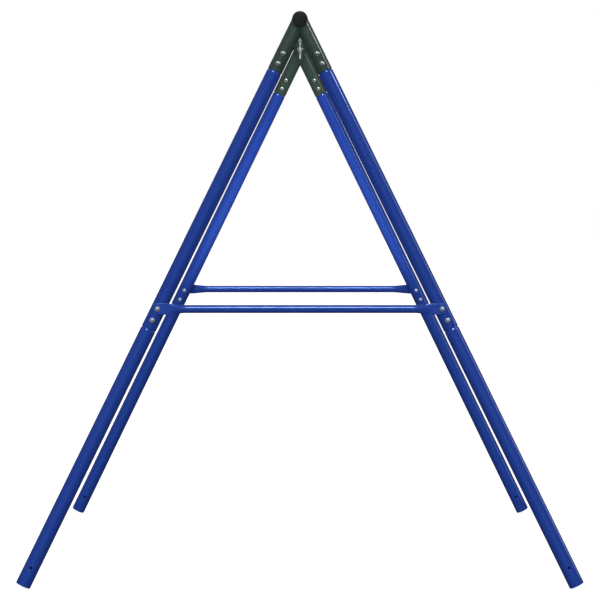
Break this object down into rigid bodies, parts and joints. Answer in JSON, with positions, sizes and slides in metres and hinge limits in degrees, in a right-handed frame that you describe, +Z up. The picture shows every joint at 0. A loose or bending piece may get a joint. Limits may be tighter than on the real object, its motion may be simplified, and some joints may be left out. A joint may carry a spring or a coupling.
{
  "type": "swing frame",
  "caption": "Free-standing A-frame swing stand of round tube: a top beam on splayed legs with crossbars, and eye bolts for a hanging seat.",
  "frame": {"origin": "on the ground, midway between the two A-frames and between the left and right legs", "axes": "+Z up, +Y along the top beam from the front A-frame to the rear one, +X to the right seen from the front"},
  "size_m": [1.8846, 1.6044, 1.9408],
  "materials": {
    "blue_paint": "gloss powder coat, royal blue",
    "green_paint": "semi-gloss powder coat, dark grey green",
    "black_plastic": "moulded, satin",
    "zinc_plate": "bright zinc plate"
  },
  "bodies": {
    "root": {"bolt_front_left_middle_1": "zinc_plate", "bolt_front_left_middle_2": "zinc_plate", "bolt_front_left_top_1": "zinc_plate", "bolt_front_left_top_2": "zinc_plate", "bolt_front_right_middle_1": "zinc_plate", "bolt_front_right_middle_2": "zinc_plate", "bolt_front_right_top_1": "zinc_plate", "bolt_front_right_top_2": "zinc_plate", "bolt_rear_left_middle_1": "zinc_plate", "bolt_rear_left_middle_2": "zinc_plate", "bolt_rear_left_top_1": "zinc_plate", "bolt_rear_left_top_2": "zinc_plate", "bolt_rear_right_middle_1": "zinc_plate", "bolt_rear_right_middle_2": "zinc_plate", "bolt_rear_right_top_1": "zinc_plate", "bolt_rear_right_top_2": "zinc_plate", "connector_front": "green_paint", "connector_rear": "green_paint", "crossbar_front": "blue_paint", "crossbar_rear": "blue_paint", "end_cap_front": "black_plastic", "end_cap_rear": "black_plastic", "eye_bolt_front": "zinc_plate", "eye_bolt_rear": "zinc_plate", "eye_lower_nut_front": "zinc_plate", "eye_lower_nut_rear": "zinc_plate", "eye_upper_nut_front": "zinc_plate", "eye_upper_nut_rear": "zinc_plate", "lower_leg_front_left": "blue_paint", "lower_leg_front_right": "blue_paint", "lower_leg_rear_left": "blue_paint", "lower_leg_rear_right": "blue_paint", "nut_front_left_middle_1": "zinc_plate", "nut_front_left_middle_2": "zinc_plate", "nut_front_left_top_1": "zinc_plate", "nut_front_left_top_2": "zinc_plate", "nut_front_right_middle_1": "zinc_plate", "nut_front_right_middle_2": "zinc_plate", "nut_front_right_top_1": "zinc_plate", "nut_front_right_top_2": "zinc_plate", "nut_rear_left_middle_1": "zinc_plate", "nut_rear_left_middle_2": "zinc_plate", "nut_rear_left_top_1": "zinc_plate", "nut_rear_left_top_2": "zinc_plate", "nut_rear_right_middle_1": "zinc_plate", "nut_rear_right_middle_2": "zinc_plate", "nut_rear_right_top_1": "zinc_plate", "nut_rear_right_top_2": "zinc_plate", "screw_beam_front": "zinc_plate", "screw_beam_rear": "zinc_plate", "top_beam": "green_paint", "upper_leg_front_left": "blue_paint", "upper_leg_front_right": "blue_paint", "upper_leg_rear_left": "blue_paint", "upper_leg_rear_right": "blue_paint"}
  },
  "joints": []
}
